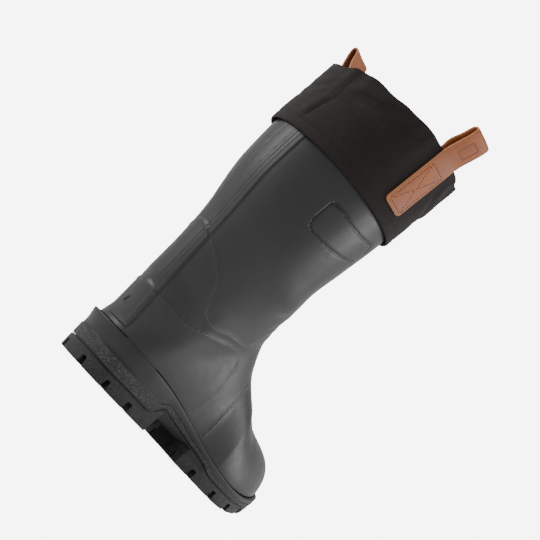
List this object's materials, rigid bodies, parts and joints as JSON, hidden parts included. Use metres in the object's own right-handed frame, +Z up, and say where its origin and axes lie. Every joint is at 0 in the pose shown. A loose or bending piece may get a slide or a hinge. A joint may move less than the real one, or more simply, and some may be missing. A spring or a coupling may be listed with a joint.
{
  "type": "rubber boot",
  "caption": "Left rubber boot with a lugged sole, two studded tread inserts, a raised backstay, a fabric cuff round the shaft top and leather pull loops.",
  "frame": {"origin": "centre line of the rear heel lug's tread face, 12 mm forward of the back of the heel", "axes": "+Z up from the tread plane, +Y forward to the toe, +X to the inner side of the left foot"},
  "size_m": [0.167, 0.3141, 0.3808],
  "materials": {
    "body_rubber": "satin, charcoal grey",
    "tread_rubber": "matt with a fine grain, near black",
    "insert_rubber": "satin, near black",
    "felt": "felt, grey",
    "cuff_fabric": "woven, dark brown-black",
    "strap_leather": "tan, satin"
  },
  "bodies": {
    "root": {"outsole": "tread_rubber", "heel_insert": "insert_rubber", "forefoot_insert": "insert_rubber", "midsole_rand": "body_rubber", "insole": "felt", "upper": "body_rubber", "backstay": "body_rubber", "cuff": "cuff_fabric", "pull_loop_inner": "strap_leather", "pull_loop_outer": "strap_leather"}
  },
  "joints": []
}
